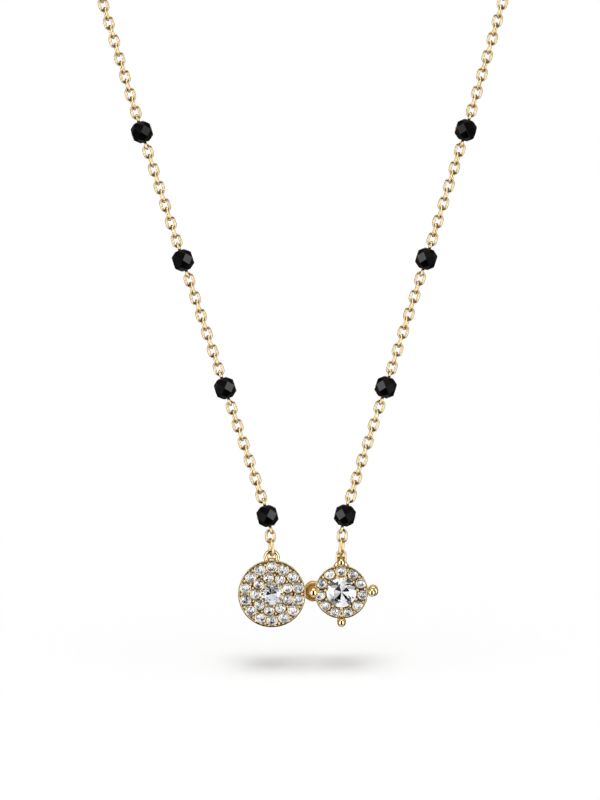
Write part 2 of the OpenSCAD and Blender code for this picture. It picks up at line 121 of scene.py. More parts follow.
# Faces of the two discs: grid, seats, grooves and lips, then the collets, grains and arms on them
LEFT_CELLS, RIGHT_CELLS, CELL_SHARE, SNAP_SHARE = 150, 124, 0.886, 0.62
SEAT_FALL, SEAT_DROP, GROOVE_DEPTH, LIP_RANGE = 0.9, 0.04, 0.16, (0.05, 0.14)
PLATE_LEAST, HOLE_BEVEL, GROOVE_END, TERRACE_SLOPE, COLLAR_SLOPE = 0.3, 0.16, 0.08, 0.03, 0.04
COLLET_WIDTH, INNER_COLLET_WIDTH, COLLET_TILT = 0.13, 0.12, 0.8
GRAIN_SPREAD, GRAIN_STRAY = 0.072, 0.012
SOUTH_GRAINS, SOUTH_GRAIN_R = [(0, -2.16), (0, -2.72)], 0.19
ARM_R = 0.075
ARM_PATH = [(0.82, 2.78, 0.76), (0.66, 2.42, 0.82), (0.5, 2.08, 0.86), (0.3, 1.68, 0.98), (0.1, 1.4, 1.04)]

# Cut of the stones: girdle points, table, tilt, and the radii and number of the facets on the back
LARGE_CUT = (32, 0.56, 0.6, (0.03, 0.52, 0.75, 0.985), 48)
SMALL_CUT = (16, 0.5, 1.6, (0.03, 0.36, 0.68, 0.985), 8)
LARGE_TONES = (0.88, 1)

# Painted dark reflections in the large stones' back facets, as wedges: middle angle, half width, depth, and
# start and end on the radius
DARK_WEDGES = {
    "right_diamond": (
        (26, 20, 0.85, 0, 0.52), (128, 26, 0.8, 0, 0.52), (243, 20, 1, 0, 0.52), (311, 14, 1, 0, 0.52),
        (22, 12, 0.95, 0.52, 0.98), (54, 11, 0.65, 0.52, 0.98), (140, 11, 0.9, 0.52, 0.98),
        (168, 7, 0.85, 0.75, 1), (235, 15, 0.55, 0.52, 1), (308, 8, 0.75, 0.52, 1),
        (335, 4, 0.75, 0.52, 0.75), (190, 25, 0.15, 0, 0.52)),
    "left_diamond": (
        (32, 20, 0.9, 0, 0.52), (165, 20, 0.9, 0, 0.52), (115, 14, 0.8, 0, 0.52), (72, 10, 0.5, 0, 0.52),
        (90, 15, 0.97, 0.52, 1), (122, 8, 0.7, 0.52, 1), (60, 7, 0.5, 0.52, 1), (153, 12, 0.95, 0.52, 1),
        (182, 9, 0.95, 0.52, 1), (215, 10, 0.7, 0.52, 1), (243, 9, 0.9, 0.52, 1), (2, 9, 0.85, 0.52, 1),
        (330, 7, 0.5, 0.52, 1), (300, 7, 0.4, 0.52, 1), (90, 75, 0.3, 0, 1)),
}

# View: the photograph's frame is 90.9 mm tall where the pendant hangs
FRAME_HEIGHT = 90.9
VIEW_RISE, VIEW_ROLL, VIEW_FROM, SENSOR_HEIGHT = 10, -0.35, 1000, 24
AIM_RIGHT, AIM_UP = -0.62, 17.16
FLOOR_Z, FLOOR_REACH = -174.05, 3000

# Light. A glow is the brightness that a mirror shows, where 1 is white
PENDANT = np.array([0, -105, -165])
FLOOR_GLOW, OVERHEAD, OVERHEAD_TILT, OVERHEAD_SPREAD, OVERHEAD_RISE = 0.03, 1.27, 14, 44, 500
ROOM_MID, ROOM_TOP, ROOM_LOW = 0.06, 0.9, 0.6
WHITE, WARM = (1, 1, 1), (1.0, 0.72, 0.42)

# Soft boxes and cards: azimuth, elevation, distance, width and height, glow and tone
SOFT_BOXES = {
    "left_box": (-47, 4, 700, (510, 1300), 2.4, WHITE),
    "right_box": (47, 4, 700, (510, 1300), 2.4, WHITE),
    "left_card": (-115, 0, 900, (1500, 1500), 0.25, WARM),
    "right_card": (115, 0, 900, (1500, 1500), 0.25, WARM),
    "top_box": (180, 88, 465, (420, 420), 1.2, WHITE),
    "back_box": (180, 4, 700, (620, 560), 1.1, WHITE),
}


class Value:
    """One output of a shader node. Sums, differences and products of it add Math nodes."""

    def __init__(self, shade, socket):
        self.shade = shade
        self.socket = socket

    def maths(self, operation, first, second):
        """A Math node that works on two values or numbers."""
        return self.shade.node("ShaderNodeMath", {"operation": operation}, {0: first, 1: second})

    def __add__(self, other):
        return self.maths("ADD", self, other)

    def __sub__(self, other):
        return self.maths("SUBTRACT", self, other)

    def __rsub__(self, other):
        return self.maths("SUBTRACT", other, self)

    def __mul__(self, other):
        return self.maths("MULTIPLY", self, other)

    __radd__ = __add__
    __rmul__ = __mul__


class Shade:
    """A node tree that is built by calls, one call a node."""

    def __init__(self, tree):
        self.tree = tree
        tree.nodes.clear()

    def node(self, kind, settings=None, sockets=None, output=0):
        """Adds a node, sets its settings, then fills its sockets with numbers or other nodes' outputs."""
        made = self.tree.nodes.new(kind)
        for name, value in (settings or {}).items():
            setattr(made, name, value)
        for name, value in (sockets or {}).items():
            if isinstance(value, Value):
                self.tree.links.new(value.socket, made.inputs[name])
            else:
                made.inputs[name].default_value = value
        return Value(self, made.outputs[output]) if made.outputs else None

    def mix(self, factor, first, second):
        """Colour that goes from first to second as the factor goes from 0 to 1."""
        return self.node("ShaderNodeMix", {"data_type": "RGBA"}, {0: factor, 6: first, 7: second}, 2)

    def spread(self, value, low, high, new_low=0.0, new_high=1.0):
        """The value's range from low to high, laid smoothly on a new range."""
        return self.node("ShaderNodeMapRange", {"interpolation_type": "SMOOTHSTEP"},
                         {0: value, 1: low, 2: high, 3: new_low, 4: new_high})

    def noise(self, at, scale, detail=2.0):
        """Cloudy pattern from 0 to 1, with a number of lumps to a metre and of finer layers over them."""
        return self.node("ShaderNodeTexNoise", {}, {"Vector": at, "Scale": scale, "Detail": detail})

    def hairlines(self, at, squeeze, scale):
        """Noise that is squeezed by a factor along each axis, so that its lumps become fine lines."""
        return self.noise(self.node("ShaderNodeMapping", {}, {"Vector": at, "Scale": squeeze}), scale)

    def carried(self, name):
        """The number that a piece's own points or faces carry under a name."""
        return self.node("ShaderNodeAttribute", {"attribute_name": name}, output="Fac")

    def bump(self, height, strength, depth):
        """Normal of a surface that rises and falls by a depth in millimetres."""
        sockets = {"Strength": strength, "Distance": depth * MM, "Height": height}
        return self.node("ShaderNodeBump", {}, sockets)


def material(name, constants, varied):
    """Principled material. Constants sit on the shader's own sockets, and varied makes the rest."""
    made = bpy.data.materials.new(name)
    made.use_nodes = True
    shade = Shade(made.node_tree)
    at = shade.node("ShaderNodeTexCoord", output="Object")
    sockets = dict(constants)
    sockets.update(varied(shade, at))
    surface = shade.node("ShaderNodeBsdfPrincipled", {}, sockets)
    shade.node("ShaderNodeOutputMaterial", {}, {"Surface": surface})
    return made


def gold(name, pale, deep, rough, ripple):
    """Polished gold. A slow cloud goes from the pale tone to the deep one, and painted shade in grooves and
    link crossings goes to half the deep tone's cube. Polishing hairlines vary the roughness, and the surface
    ripples faintly."""

    def varied(shade, at):
        cloud = shade.noise(at, scale=700.0, detail=3.0)
        hair = shade.hairlines(at, squeeze=(1.0, 1.0, 7.0), scale=5200.0)
        wave = shade.noise(at, scale=1300.0, detail=1.0)
        # Painted shade: the gold darkens towards half the deep tone's cube in grooves and link crossings,
        # and is a little rougher there.
        painted_shade = shade.carried("painted_shade")
        toned = shade.mix(shade.spread(cloud, 0.3, 0.7), (*pale, 1), (*deep, 1))
        dark = tuple(0.5 * c ** 3 for c in deep)
        return {
            "Base Color": shade.mix(painted_shade * 0.85, toned, (*dark, 1)),
            "Roughness": shade.spread(hair, 0.3, 0.75, rough * 0.7, rough * 1.5) + painted_shade * 0.12,
            "Normal": shade.bump(wave + hair * 0.12, 1.0, ripple),
        }

    return material(name, {"Metallic": 1.0, "IOR": 1.5, "Specular Tint": (0.6, 0.45, 0.22, 1)}, varied)


def clear_stone(name):
    """Front of a cut stone, with a high index and a faint haze of handling marks."""

    def varied(shade, at):
        haze = shade.noise(at, scale=2500.0)
        return {
            "Base Color": shade.mix(haze, (0.97, 0.97, 0.98, 1), (1.0, 1.0, 1.0, 1)),
            "Roughness": shade.spread(haze, 0.4, 0.8, 0.0, 0.02),
        }

    return material(name, {"Transmission Weight": 1.0, "IOR": 2.42, "Metallic": 0.0}, varied)


def painted_reflections(name):
    """Back facets of a stone, seen through its front, with painted reflections. Each glows with its own
    painted tone, from the white of a softbox to the black of the room, over a dim mirror, and its brightness
    is the tone squared."""

    def varied(shade, at):
        tone = shade.carried("facet")
        cloud = shade.noise(at, scale=1800.0)
        # Painted reflections: each facet glows with its own tone, set per face.
        level = tone * tone * shade.spread(cloud, 0.3, 0.7, 0.9, 1.0)
        return {
            "Base Color": shade.mix(level, (0.006, 0.006, 0.007, 1), (0.5, 0.5, 0.5, 1)),
            "Emission Color": shade.mix(level, (0.0, 0.0, 0.0, 1), (0.98, 0.98, 1.0, 1)),
            "Roughness": shade.spread(cloud, 0.3, 0.7, 0.22, 0.12),
        }

    return material(name, {"Metallic": 1.0, "Emission Strength": 0.9}, varied)


def black_stone(name):
    """Opaque black bead under a glassy coat whose strength differs
    from facet to facet, with a few fine scratches. Each facet's number sets its coat, and the facet given a
    strong one shows a placed highlight."""

    def varied(shade, at):
        cloud = shade.noise(at, scale=900.0, detail=3.0)
        hair = shade.hairlines(at, squeeze=(1.0, 6.0, 1.0), scale=6000.0)
        polish_and_glint = shade.carried("polish_and_glint")
        grey = shade.spread(cloud, 0.35, 0.7)
        return {
            "Base Color": shade.mix(grey, (0.0008, 0.0008, 0.001, 1), (0.003, 0.003, 0.004, 1)),
            "Roughness": shade.spread(hair, 0.45, 0.8, 0.3, 0.5),
            "Coat Weight": polish_and_glint,
            "Normal": shade.bump(hair, 0.4, 0.002),
        }

    return material(name, {"Specular IOR Level": 0.02, "Coat IOR": 1.52, "Coat Roughness": 0.06}, varied)


def joined_mesh(name, shells):
    """One mesh in metres of several shells, each its points in millimetres, its faces and, where it has one,
    the painted shade at each point, from 0 for open metal to 1 for the deepest shade."""
    starts = np.cumsum([0] + [len(shell[0]) for shell in shells])
    points = np.concatenate([shell[0] for shell in shells]) * MM
    faces = [shell[1] + start for shell, start in zip(shells, starts)]
    corners = np.concatenate([f.ravel() for f in faces])
    sizes = np.concatenate([np.full(len(f), f.shape[1]) for f in faces])
    mesh = bpy.data.meshes.new(name)
    mesh.vertices.add(len(points))
    mesh.vertices.foreach_set("co", points.astype(np.float32).ravel())
    mesh.loops.add(len(corners))
    mesh.loops.foreach_set("vertex_index", corners.astype(np.int32))
    mesh.polygons.add(len(sizes))
    mesh.polygons.foreach_set("loop_start", (np.cumsum(sizes) - sizes).astype(np.int32))
    mesh.update(calc_edges=True)
    if any(len(shell) > 2 for shell in shells):
        painted_shade = [shell[2] if len(shell) > 2 else np.zeros(len(shell[0])) for shell in shells]
        held = mesh.attributes.new("painted_shade", "FLOAT", "POINT")
        held.data.foreach_set("value", np.concatenate(painted_shade).astype(np.float32))
    return mesh


def piece(name, shells, finish, body, stands_for, sharp=40, weld=True):
    """One object from several shells. A weld merges points that meet. Faces
    are turned outwards and shaded smoothly, but for edges that bend by more
    than the sharp angle in degrees. An angle of 0 keeps them all flat."""
    mesh = joined_mesh(name, shells)
    shaped = bmesh.new()
    shaped.from_mesh(mesh)
    if weld:
        bmesh.ops.remove_doubles(shaped, verts=shaped.verts, dist=2e-4 * MM)
        bmesh.ops.dissolve_degenerate(shaped, edges=shaped.edges, dist=1e-4 * MM)
    bmesh.ops.recalc_face_normals(shaped, faces=shaped.faces)
    shaped.to_mesh(mesh)
    shaped.free()
    mesh.polygons.foreach_set("use_smooth", np.full(len(mesh.polygons), sharp > 0))
    if sharp > 0:
        mesh.set_sharp_from_angle(angle=math.radians(sharp))
    made = bpy.data.objects.new(name, mesh)
    bpy.context.scene.collection.objects.link(made)
    mesh.materials.append(finish)
    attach(made, body)
    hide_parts(*stands_for)
    return made


def setting_piece(name, parts, finish, sharp, weld=True):
    """A piece of the pendant's soldered gold, from shells
    in the pendant's own frame and the place of each."""
    shells = [hung(shell, at) for shell, at in parts]
    piece(name, shells, finish, "pendant", ["pendant_setting"], sharp, weld)


def mark_faces(made, name, values):
    """Lets each face of a piece carry a number for its material."""
    made.data.attributes.new(name, "FLOAT", "FACE").data.foreach_set("value", values.astype(np.float32))


def grid_faces(rows, columns, rows_close=False):
    """Quads between the rows of a grid. The last column joins the first, and so may the last row."""
    i = np.arange(rows if rows_close else rows - 1)[:, None]
    j = np.arange(columns)[None, :]
    below, beside = (i + 1) % rows, (j + 1) % columns
    corners = [i * columns + j, below * columns + j, below * columns + beside, i * columns + beside]
    return np.stack([np.broadcast_to(c, (len(i), columns)) for c in corners], -1).reshape(-1, 4)


def even_turns(count, share=0.0):
    """Angles of even steps round a full turn, the first a
    share of a step past 0: 2 pi (k + share) / count."""
    return (np.arange(count) + share) * 2 * np.pi / count


def lathe(profile, columns):
    """Profile of radius and height, turned round Z: x = r cos a, y = r sin a, z = height."""
    profile = np.asarray(profile, float)
    a = even_turns(columns)
    x = profile[:, :1] * np.cos(a)
    y = profile[:, :1] * np.sin(a)
    z = np.broadcast_to(profile[:, 1:], x.shape)
    return np.stack([x, y, z], -1).reshape(-1, 3), grid_faces(len(profile), columns)


def arc(centre_r, centre_z, radius, start, end, steps):
    """Points of a profile on an arc, from one angle to another in degrees, 0 pointing outwards."""
    a = np.radians(np.linspace(start, end, steps + 1))
    return [(centre_r + radius * c, centre_z + radius * s) for c, s in zip(np.cos(a), np.sin(a))]


def ball(radius, columns=24, rows=16):
    """Sphere as a lathe of a half circle."""
    return lathe(arc(0, 0, radius, 90, -90, rows), columns)


def oval(length, width, wire, bends, sides):
    """Closed ring of round wire, longest along Y. Its centre line is two half circles joined by straight
    runs, and each point of the section is the centre line plus wire/2 (outwards cos q + Z sin q)."""
    bend, run = (width - wire) / 2, length - width
    a = np.concatenate([np.linspace(0, np.pi, bends + 1), np.linspace(np.pi, 2 * np.pi, bends + 1)])
    out = np.stack([np.cos(a), np.sin(a), np.zeros_like(a)], -1)
    shift = np.where(np.arange(len(a)) <= bends, run / 2, -run / 2)
    line = bend * out + shift[:, None] * np.array([0, 1, 0])
    q = even_turns(sides)
    across = np.cos(q)[None, :, None] * out[:, None] + np.sin(q)[None, :, None] * np.array([0, 0, 1])
    points = line[:, None] + wire / 2 * across
    return points.reshape(-1, 3), grid_faces(len(a), sides, True)


def repeat(shape, spots):
    """The same shell at many places. Each place is a 3 by 3 matrix and a point."""
    points, faces = shape[0], shape[1]
    turns, centres = spots
    placed = np.einsum("nij,mj->nmi", turns, points) + centres[:, None]
    steps = np.arange(len(centres))[:, None, None] * len(points)
    return placed.reshape(-1, 3), (faces[None] + steps).reshape(-1, faces.shape[1])


def moved(shell, by):
    """A shell shifted along X, Y and Z."""
    return (shell[0] + np.asarray(by, float),) + tuple(shell[1:])


def swapped(shell, axes, factors):
    """A shell with its axes taken in another order, each times a factor."""
    return (shell[0][:, axes] * np.array(factors),) + tuple(shell[1:])


def handed(shell, side):
    """A shell made for the right half, or its mirrored copy for the left."""
    return swapped(shell, [0, 1, 2], [-1, 1, 1]) if side == "left" else shell


def ellipsoid(sizes):
    """Sphere of radius 1 with its poles at the sides, times a half width, height and depth."""
    return swapped(ball(1, 20, 12), [2, 1, 0], sizes)


def unit(vectors):
    """Vectors divided by their lengths."""
    return vectors / np.linalg.norm(vectors, axis=-1, keepdims=True)


# The chain's way, as in the part's source: cubic curves through the route's points, each worked out from its
# two ends and the headings there. A heading is a mean of the two chords' ways, where the shorter counts more
STEP = np.diff(ROUTE, axis=0)
CHORD = np.linalg.norm(STEP, axis=1)[:, None]
WAYS = STEP / CHORD
HEADING = np.vstack([
    WAYS[:1],
    (WAYS[:-1] * CHORD[1:] + WAYS[1:] * CHORD[:-1]) / (CHORD[:-1] + CHORD[1:]),
    [[-1, 0, 0]],
])
PARTS = (np.arange(ROUTE_STEPS) / ROUTE_STEPS)[None, :, None]
WAY = (
    (2 * PARTS ** 3 - 3 * PARTS ** 2 + 1) * ROUTE[:-1, None]
    + (PARTS ** 3 - 2 * PARTS ** 2 + PARTS) * (CHORD * HEADING[:-1])[:, None]
    + (3 * PARTS ** 2 - 2 * PARTS ** 3) * ROUTE[1:, None]
    + (PARTS ** 3 - PARTS ** 2) * (CHORD * HEADING[1:])[:, None]
).reshape(-1, 3)
WAY = np.vstack([WAY, ROUTE[-1:]])
WAY_AT = np.concatenate([[0], np.cumsum(np.linalg.norm(np.diff(WAY, axis=0), axis=1))])


def place(s):
    """Points of the chain's way at distances from its foot,
    on straight lines between its worked-out points."""
    return np.stack([np.interp(s, WAY_AT, WAY[:, k]) for k in range(3)], -1)


def along(s, turn):
    """Frames along the chain: Y runs up the chain, Z faces the front, and each is turned about its own Y."""
    s = np.atleast_1d(np.asarray(s, float))
    up = np.where(s[:, None] < SIGHT, HEADING[:1], unit(place(s + SIGHT) - place(s - SIGHT)))
    front = np.array([0, -1, 0])
    out = unit(front - (up @ front)[:, None] * up)
    across = np.cross(up, out)
    t = np.radians(np.broadcast_to(turn, s.shape))[:, None]
    turned = [across * np.cos(t) - out * np.sin(t), up, across * np.sin(t) + out * np.cos(t)]
    return np.stack(turned, -1), place(s)


def hung(shell, at):
    """A shell from its place in the pendant's own frame in
    the part's: x stays, z goes to the front, y goes up."""
    points = moved(shell, at)[0]
    turned = np.stack([points[:, 0], HANG[1] - points[:, 2], HANG[2] + points[:, 1]], -1)
    return (turned,) + tuple(shell[1:])


def ring_places(count, radius, share=0.0):
    """Places round a circle, the first a share of a step past the top, as they follow anticlockwise."""
    a = np.radians(90 + (np.arange(count) + share) * 360 / count)
    return radius * np.stack([np.cos(a), np.sin(a)], -1)


def at_height(places, z):
    """Level places, each with the same height as its third coordinate."""
    return np.column_stack([places, np.full(len(places), z)])


def spun(count, turns, tilt=0.0):
    """Rotation matrices: a turn about Z, then a small tilt about a random level axis."""
    c, s = np.cos(turns), np.sin(turns)
    flat = np.zeros((count, 3, 3))
    flat[:, 0, 0], flat[:, 0, 1], flat[:, 1, 0], flat[:, 1, 1], flat[:, 2, 2] = c, -s, s, c, 1
    lean = np.radians(rng.normal(0, tilt, (count, 2)))
    tipped = np.tile(np.eye(3), (count, 1, 1))
    tipped[:, 0, 2], tipped[:, 2, 0] = lean[:, 0], -lean[:, 0]
    tipped[:, 1, 2], tipped[:, 2, 1] = lean[:, 1], -lean[:, 1]
    return tipped @ flat


# Rings of stones: places, stone size, height of the gold and middle of the disc
OUTER_STONES = (ring_places(LEFT_OUTER_COUNT, LEFT_OUTER_RING), LEFT_OUTER_D, LEFT_FLOOR, LEFT_AT)
INNER_PLACES = ring_places(LEFT_INNER_COUNT, LEFT_INNER_RING, INNER_SHARE)
INNER_STONES = (INNER_PLACES, LEFT_INNER_D, LEFT_TERRACE, LEFT_AT)
HALO_STONES = (ring_places(HALO_COUNT, HALO_RING), HALO_D, RIGHT_FLOOR, RIGHT_AT)
LEFT_CENTRE = (np.zeros((1, 2)), LEFT_CENTRE_D, LEFT_COLLAR, LEFT_AT)
RIGHT_CENTRE = (np.zeros((1, 2)), RIGHT_CENTRE_D, RIGHT_COLLAR, RIGHT_AT)

# Finishes
chain_gold = gold("chain_gold", (0.95, 0.79, 0.50), (0.90, 0.70, 0.38), 0.10, 0.006)
plain_gold = gold("plain_gold", (0.94, 0.77, 0.47), (0.89, 0.69, 0.37), 0.09, 0.006)
satin_gold = gold("satin_gold", (0.99, 0.75, 0.39), (0.96, 0.66, 0.29), 0.34, 0.004)
setting_gold = gold("setting_gold", (0.90, 0.83, 0.60), (0.85, 0.76, 0.49), 0.12, 0.008)
pale_gold = gold("pale_gold", (0.97, 0.88, 0.74), (0.94, 0.83, 0.66), 0.14, 0.004)
clear = clear_stone("clear_stone")
# Back facets that glow with painted reflections.
glowing_facets = painted_reflections("painted_reflections")
black = black_stone("black_stone")

# Distances along the chain, as in the part's source
RING_LINE = RING_LEN - RING_WIRE
RING_LOW = (BAIL_WIRE + RING_WIRE) / 2 + WIRE_GAP
FIRST_LINK = RING_LINE - RING_LOW - (RING_WIRE + LINK_WIRE) / 2 - WIRE_GAP + (LINK_LEN - LINK_WIRE) / 2
LOWEST_BEAD = FIRST_LINK + BEAD_REACH
BEADS = LOWEST_BEAD + np.arange(BEADS_A_SIDE)[::-1] * BEAD_STEP
TOP_LINK = BEADS[0] + BEAD_REACH


def chain_links():
    """Distances of the front links and a 1 for each that is turned, then
    the same for the back links. The front ones are one pitch apart between
    beads, and the back ones are spaced evenly from there to the clasp."""
    between = np.arange(LINKS_BETWEEN)
    above = np.arange(LINKS_ABOVE)
    front = [np.array([FIRST_LINK])] + [b + BEAD_REACH + between * LINK_PITCH for b in BEADS[1:]]
    odd = [np.array([0])] + [between % 2 for b in BEADS[1:]]
    front.append(TOP_LINK + above * LINK_PITCH)
    odd.append(above % 2)
    eye = CLASP_LEN / 2 + 2 * CLASP_EYE_R
    last = WAY_AT[-1] - eye + (CLASP_EYE_WIRE + LINK_WIRE) / 2 + WIRE_GAP - (LINK_LEN - LINK_WIRE) / 2
    start = TOP_LINK + (LINKS_ABOVE - 1) * LINK_PITCH
    count = 2 * round((last - start) / LINK_PITCH / 2)
    back = start + np.arange(1, count + 1) * (last - start) / count
    return np.concatenate(front), np.concatenate(odd), back, (np.arange(1, count + 1) + 1) % 2


def make_chain():
    """Links of both chains. Painted shade darkens the gold on the inside of each link's ends, where the next
    link
    crosses it: one step grows along the link and one inwards from its wire's middle, and the shade is their
    product."""
    front_s, front_odd, back_s, back_odd = chain_links()
    fine = oval(LINK_LEN, LINK_WIDTH, FULL_LINK_WIRE, 8, 8)
    plain = oval(LINK_LEN, LINK_WIDTH, FULL_LINK_WIRE, 6, 6)
    bend = (LINK_WIDTH - FULL_LINK_WIRE) / 2
    for side in ("left", "right"):
        for part, s, odd, shape in (("front", front_s, front_odd, fine), ("back", back_s, back_odd, plain)):
            turn = odd * LINK_TURN + rng.normal(0, LINK_SWAY, len(s))
            x, y = np.abs(shape[0][:, 0]), np.abs(shape[0][:, 1])
            inside = bend - np.hypot(x, np.maximum(y - (LINK_LEN - LINK_WIDTH) / 2, 0))
            # Painted shade on the inside of the link's ends, where the next link crosses.
            crossing_shade = CROSSING_SHADE * step_up(y, *CROSSING_SHADE_ALONG) * step_up(inside, *CROSSING_SHADE_INSIDE)
            links = handed((*repeat(shape, along(s, turn)), np.tile(crossing_shade, len(s))), side)
            piece(f"{part}_links_{side}", [links], chain_gold, "necklace",
                  [f"chain_{part}_{side}"], sharp=180, weld=False)


def faceted_bead():
    """Round bead of 32 flat facets. Six upright diamonds go round the middle: their side corners are on the
    middle circle, and their tips stand at cos 30 of its radius. Each row of kites beyond them carries on the
    plane through its lower three corners, first out to the height of the tops and then to the bead's end."""
    n, r = BEAD_SIDES, FULL_BEAD_D / 2
    half_turn = math.cos(math.pi / n)
    tip, top, last = TIP_HEIGHT, TOP_HEIGHT, FULL_BEAD_LEN / 2 / r
    wide_top = 1 - (1 - half_turn ** 2) * top / tip
    wide_last = half_turn - (half_turn - half_turn * wide_top) * (last - tip) / (top - tip)

    def ring(wide, height, turn):
        """Corners of a row, turned by a share of a step, where Y is the bead's length."""
        a = even_turns(n, turn)
        return np.stack([wide * np.cos(a), np.full(n, height), -wide * np.sin(a)], -1)

    points = [r * ring(1, 0, 0)]
    for side in (1, -1):
        points.append(r * ring(half_turn, side * tip, 0.5))
        points.append(r * ring(wide_top, side * top, 0))
        points.append(r * ring(wide_last, side * last, 0.5))
    for side in (1, -1):
        points += [ring(BEAD_BORE / 2, side * (r * last - deep), 0.5) for deep in (0.0, BORE_DEPTH)]
    k = np.arange(n)
    nxt, prv = (k + 1) % n, (k - 1) % n
    quads, corners = [np.stack([k, 4 * n + k, nxt, n + k], -1)], []
    for tips, tops, ends, mouth in ((n, 2 * n, 3 * n, 7 * n), (4 * n, 5 * n, 6 * n, 9 * n)):
        bottom = mouth + n
        quads.append(np.stack([k, tips + k, tops + k, tips + prv], -1))
        quads.append(np.stack([tips + k, tops + nxt, ends + k, tops + k], -1))
        quads.append(np.stack([ends + k, ends + nxt, mouth + nxt, mouth + k], -1))
        quads.append(np.stack([mouth + k, mouth + nxt, bottom + nxt, bottom + k], -1))
        corners.append(np.stack([tops + k, ends + k, ends + prv], -1))
    points = np.concatenate(points)
    return [(points, np.concatenate(quads)), (points, np.concatenate(corners))]


def bead_pin():
    """Pin along Y: a round rod through the bead, and a long oval eye that starts inside each of its ends."""
    reach = EYE_S + EYE_R + PIN_WIRE / 2
    length = reach - FULL_BEAD_LEN / 2 + EYE_SINK
    eye = oval(length, EYE_SHARE * (2 * EYE_R + PIN_WIRE), FULL_PIN_WIRE, 12, 10)
    eye = swapped(eye, [2, 1, 0], [1, 1, -1])
    half = EYE_S - EYE_R
    rod = lathe([(0, half), (PIN_WIRE / 2, half), (PIN_WIRE / 2, -half), (0, -half)], 12)
    ends = [moved(eye, (0, side * (reach - length / 2), 0)) for side in (-1, 1)]
    return [swapped(rod, [0, 2, 1], [1, 1, -1])] + ends


def make_beads():
    """Beads on their pins. Facets are unevenly polished, and in all but the
    top beads the one that faces the inside of the V is the brightest: a placed highlight, from a coat set
    strong on that facet."""
    bead, pin = faceted_bead(), bead_pin()
    for side in ("left", "right"):
        for number, s in enumerate(BEADS, 1):
            turned, straight = along([s], rng.normal(BEAD_TURN, BEAD_SWAY)), along([s], 0)
            shells = [handed(repeat(shell, turned), side) for shell in bead]
            wires = [handed(repeat(shell, straight), side) for shell in pin]
            cut = piece(f"faceted_bead_{side}_{number}", shells, black, "necklace",
                        [f"bead_{side}_{number}"], sharp=0)
            polish_and_glint = rng.uniform(*MIDDLE_POLISH, len(cut.data.polygons))
            polish_and_glint[BEAD_SIDES:] = rng.uniform(*END_POLISH, len(polish_and_glint) - BEAD_SIDES)
            # Placed highlight: a strong coat on the facet that faces the inside of the V.
            polish_and_glint[BRIGHT_FACET] = TOP_BEAD_BRIGHT if number == 1 else BEAD_BRIGHT
            mark_faces(cut, "polish_and_glint", polish_and_glint)
            soften = cut.modifiers.new("soft_edges", "BEVEL")
            soften.width = BEAD_EDGE * MM
            soften.segments = 1
            soften.limit_method = "ANGLE"
            soften.angle_limit = math.radians(EDGE_ANGLE)
            piece(f"bead_pin_{side}_{number}", wires, plain_gold, "necklace",
                  [f"pin_{side}_{number}"])


def make_end_rings():
    """Oval ring at the foot of each chain, turned about the chain. The pendant's wire hangs at its foot, and
    the lowest link goes through its top."""
    lifted = moved(oval(RING_LEN, RING_WIDTH, FULL_RING_WIRE, 14, 12), (0, RING_LINE / 2 - RING_LOW, 0))
    for side in ("left", "right"):
        shell = handed(repeat(lifted, along([0], RING_TURN[side])), side)
        piece(f"oval_ring_{side}", [shell], plain_gold, "necklace", [f"end_ring_{side}"],
              sharp=180, weld=False)


def make_clasp():
    """Plain barrel: a lathe profile with a rounded cone, a
    bead line at each shoulder, and an eye at each end."""
    half, cone, r = CLASP_LEN / 2, CLASP_D / 3, CLASP_D / 2
    end = [(0, half), (CLASP_NECK * 0.9, half), (CLASP_NECK, half - 0.06), (CLASP_NECK + 0.2, half - 0.35)]
    end += [(r - 0.1, half - cone + 0.1), (r - 0.02, half - cone), (r, half - cone - 0.1)]
    end += [(r - 0.07, half - cone - 0.18), (r - 0.07, half - cone - 0.3), (r, half - cone - 0.38)]
    barrel = lathe(end + [(radius, -height) for radius, height in reversed(end)], 48)
    across = 2 * CLASP_EYE_R + CLASP_EYE_WIRE
    eye = swapped(oval(across, across, CLASP_EYE_WIRE, 16, 12), [0, 2, 1], [1, -1, 1])
    shells = [barrel] + [moved(eye, (0, 0, side * (half + CLASP_EYE_R))) for side in (-1, 1)]
    laid = [moved(swapped(shell, [2, 1, 0], [1, 1, -1]), ROUTE[-1]) for shell in shells]
    piece("barrel_clasp", laid, plain_gold, "necklace", ["clasp"], sharp=50)


def round_grid(cells, reach):
    """Square grid laid on a disc. The larger of a point's two coordinates
    gives its radius, and their ratio its angle within a quarter turn."""
    u, v = np.meshgrid(np.linspace(-1, 1, cells + 1), np.linspace(-1, 1, cells + 1), indexing="ij")
    wide = np.abs(u) >= np.abs(v)
    big, small = np.where(wide, u, v), np.where(wide, v, u)
    lean = np.pi / 4 * small / np.where(big == 0, 1, big)
    x = big * np.where(wide, np.cos(lean), np.sin(lean))
    y = big * np.where(wide, np.sin(lean), np.cos(lean))
    return reach * np.stack([x, y], -1)


def snap(points, free, centre, radius, reach):
    """Free grid points that lie near a circle are moved
    straight out or in to it: centre + away r / |away|."""
    away = points - centre
    distance = np.linalg.norm(away, axis=-1)
    near = free & (np.abs(distance - radius) < reach)
    points[near] = centre + away[near] * (radius / distance[near])[:, None]


def step_up(value, low, high):
    """0 up to low and 1 from high on. Between them 3 t^2 - 2 t^3, where t is the share of the way."""
    t = np.clip((value - low) / (high - low), 0, 1)
    return t * t * (3 - 2 * t)


def hole_walls(index, keep, total):
    """Quads from the front to the back along each grid edge that has a kept cell on one side alone."""
    walls = []
    for one, two, start, end in (
            (keep[:-1], keep[1:], index[1:-1, :-1], index[1:-1, 1:]),
            (keep[:, :-1], keep[:, 1:], index[:-1, 1:-1], index[1:, 1:-1])):
        edge = one != two
        p, q = start[edge], end[edge]
        walls.append(np.stack([p, q, q + total, p + total], -1))
    return walls


